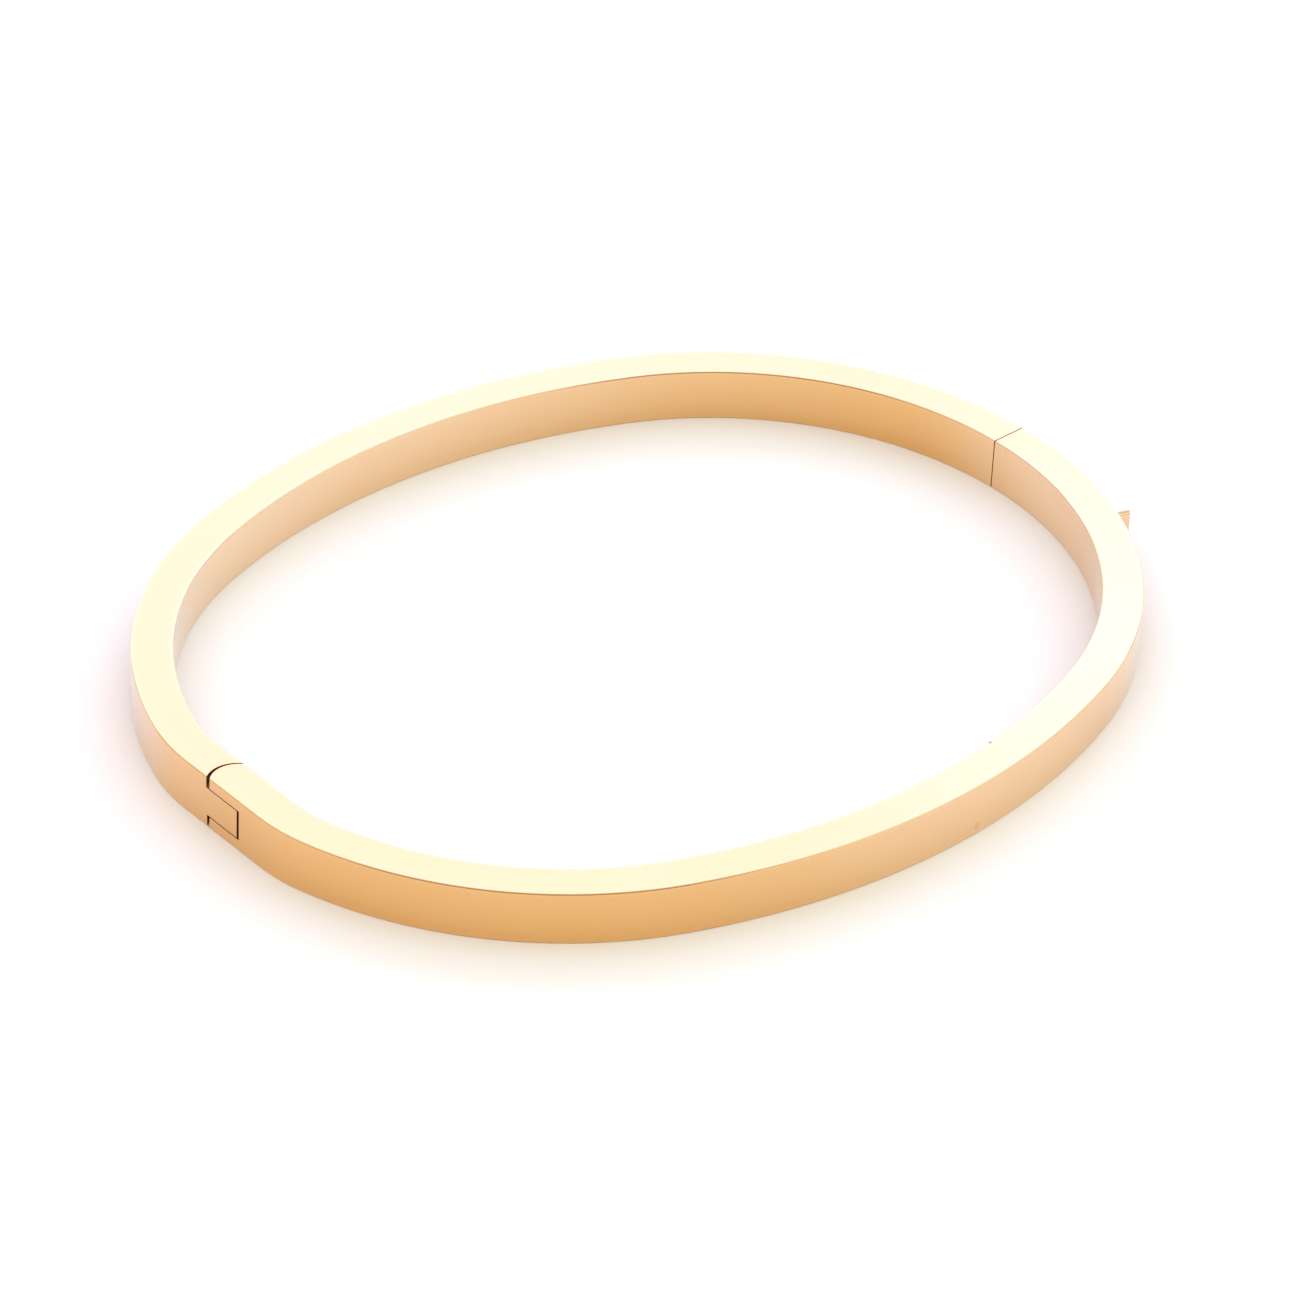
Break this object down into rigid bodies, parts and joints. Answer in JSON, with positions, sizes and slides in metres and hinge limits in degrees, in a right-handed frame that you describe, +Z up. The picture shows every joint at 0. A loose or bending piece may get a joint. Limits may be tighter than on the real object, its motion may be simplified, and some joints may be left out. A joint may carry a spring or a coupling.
{
  "type": "hinged oval bangle",
  "caption": "Plain oval bangle of rectangular section that opens on a hinge and closes with a hidden tongue beside a push button.",
  "frame": {"origin": "middle of the oval, on the surface that the bangle lies on", "axes": "+X along the oval's long axis, from the hinge towards the clasp seam; +Y across the oval, towards the half that opens; +Z up, square to the resting face"},
  "size_m": [0.0645, 0.0524, 0.0034],
  "materials": {
    "polished_gold": "polished yellow gold plate",
    "button_gold": "polished yellow gold plate",
    "plain_metal": "bright drawn metal"
  },
  "bodies": {
    "front": {"front_half": "polished_gold", "hinge_pin": "plain_metal"},
    "back": {"back_half": "polished_gold", "clasp_tongue": "plain_metal"},
    "button": {"push_button": "button_gold"}
  },
  "joints": [
    {"name": "bangle_hinge", "type": "hinge", "parent": "front", "child": "back", "pos_m": [-0.03072, 0, 0], "axis": [0, 0, 1], "range_deg": [0, 55]},
    {"name": "button_press", "type": "slide", "parent": "front", "child": "button", "axis": [-0.956, 0.2933, 0], "range_m": [0, 0.0006], "stiffness_N_per_m": 1500}
  ]
}
